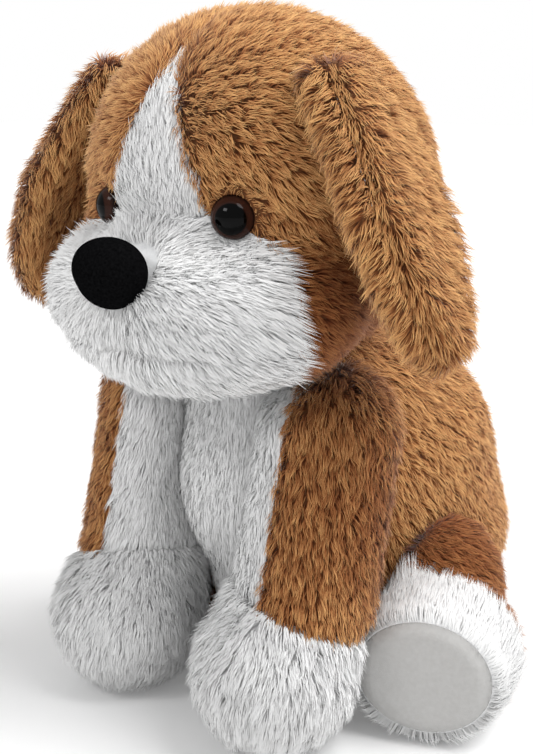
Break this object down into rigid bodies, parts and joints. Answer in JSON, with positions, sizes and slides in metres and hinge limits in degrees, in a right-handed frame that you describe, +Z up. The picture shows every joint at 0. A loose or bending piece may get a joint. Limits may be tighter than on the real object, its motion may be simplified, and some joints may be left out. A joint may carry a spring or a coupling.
{
  "type": "plush dog",
  "caption": "Sitting plush dog with a soft stuffed body, hanging ears, safety eyes, a flocked nose and stuffed limbs that flex.",
  "frame": {"origin": "centre of the flat seat panel, on the surface that the dog sits on", "axes": "+Z up, the dog faces -Y, and its left side is +X"},
  "size_m": [0.2824, 0.3413, 0.344],
  "materials": {
    "brown_plush": "long-pile plush, tan brown",
    "white_plush": "long-pile plush, cool white",
    "white_short_pile": "short smooth pile, off-white",
    "lining_cloth": "plain woven backing cloth",
    "fibre_fill": "loose polyester fibre",
    "pellets": "small plastic pellets in a closed bag",
    "nose_flock": "black flock",
    "eye_plastic": "gloss, very dark brown",
    "washer_plastic": "moulded",
    "thread": "doubled sewing thread",
    "label_satin": "plain woven satin, blank"
  },
  "bodies": {
    "torso": {"body_back": "brown_plush", "belly_panel": "white_plush", "seat_panel": "lining_cloth", "body_stuffing": "fibre_fill", "pellet_bag": "pellets", "body_closing_stitch": "thread", "sewn_label": "label_satin"},
    "neck": {"neck_stuffing": "fibre_fill"},
    "head": {"crown_left": "brown_plush", "crown_right": "brown_plush", "face_blaze": "white_short_pile", "muzzle_cover": "white_plush", "chin_panel": "white_plush", "head_base_panel": "lining_cloth", "head_stuffing": "fibre_fill", "nose": "nose_flock", "nose_washer": "washer_plastic", "mouth_stitch": "thread", "eye_left": "eye_plastic", "eye_right": "eye_plastic", "eye_washer_left": "washer_plastic", "eye_washer_right": "washer_plastic"},
    "ear_left": {"ear_outer_left": "brown_plush", "ear_wadding_left": "fibre_fill", "ear_lining_left": "brown_plush"},
    "ear_right": {"ear_outer_right": "brown_plush", "ear_wadding_right": "fibre_fill", "ear_lining_right": "brown_plush"},
    "front_leg_left": {"front_leg_outer_left": "brown_plush", "front_leg_inner_left": "white_plush", "front_paw_left": "white_plush", "front_leg_stuffing_left": "fibre_fill"},
    "front_leg_right": {"front_leg_outer_right": "brown_plush", "front_leg_inner_right": "white_plush", "front_paw_right": "white_plush", "front_leg_stuffing_right": "fibre_fill"},
    "hind_leg_left": {"thigh_left": "brown_plush", "hind_foot_cuff_left": "white_plush", "hind_sole_left": "white_short_pile", "hind_leg_stuffing_left": "fibre_fill"},
    "hind_leg_right": {"thigh_right": "brown_plush", "hind_foot_cuff_right": "white_plush", "hind_sole_right": "white_short_pile", "hind_leg_stuffing_right": "fibre_fill"},
    "tail": {"tail_base": "brown_plush", "tail_tip": "white_plush", "tail_stuffing": "fibre_fill"}
  },
  "joints": [
    {"name": "head_turn", "type": "hinge", "parent": "torso", "child": "neck", "pos_m": [0, -0.07, 0.17], "axis": [0, 0, 1], "range_deg": [-10, 10], "stiffness_Nm_per_rad": 2},
    {"name": "head_nod", "type": "hinge", "parent": "neck", "child": "head", "pos_m": [0, -0.07, 0.17], "axis": [1, 0, 0], "range_deg": [-6, 4], "stiffness_Nm_per_rad": 4, "springref_deg": -0.8},
    {"name": "ear_left_lift", "type": "hinge", "parent": "head", "child": "ear_left", "pos_m": [0.0605, -0.108, 0.318], "axis": [0.1564, -0.9877, 0], "range_deg": [0, 60]},
    {"name": "front_leg_left_swing", "type": "hinge", "parent": "torso", "child": "front_leg_left", "pos_m": [0.053, -0.096, 0.15], "axis": [-1, 0, 0], "range_deg": [0, 30], "stiffness_Nm_per_rad": 0.5},
    {"name": "hind_leg_left_lift", "type": "hinge", "parent": "torso", "child": "hind_leg_left", "pos_m": [0.077, -0.025, 0.05], "axis": [-1, 0, 0], "range_deg": [0, 15], "stiffness_Nm_per_rad": 0.8},
    {"name": "ear_right_lift", "type": "hinge", "parent": "head", "child": "ear_right", "pos_m": [-0.0605, -0.108, 0.318], "axis": [0.1564, 0.9877, 0], "range_deg": [0, 60]},
    {"name": "front_leg_right_swing", "type": "hinge", "parent": "torso", "child": "front_leg_right", "pos_m": [-0.053, -0.096, 0.15], "axis": [-1, 0, 0], "range_deg": [0, 30], "stiffness_Nm_per_rad": 0.5},
    {"name": "hind_leg_right_lift", "type": "hinge", "parent": "torso", "child": "hind_leg_right", "pos_m": [-0.077, -0.025, 0.05], "axis": [-1, 0, 0], "range_deg": [0, 15], "stiffness_Nm_per_rad": 0.8},
    {"name": "tail_wag", "type": "hinge", "parent": "torso", "child": "tail", "pos_m": [0, 0.112, 0.05], "axis": [0, 0, 1], "range_deg": [-20, 20], "stiffness_Nm_per_rad": 0.1}
  ]
}
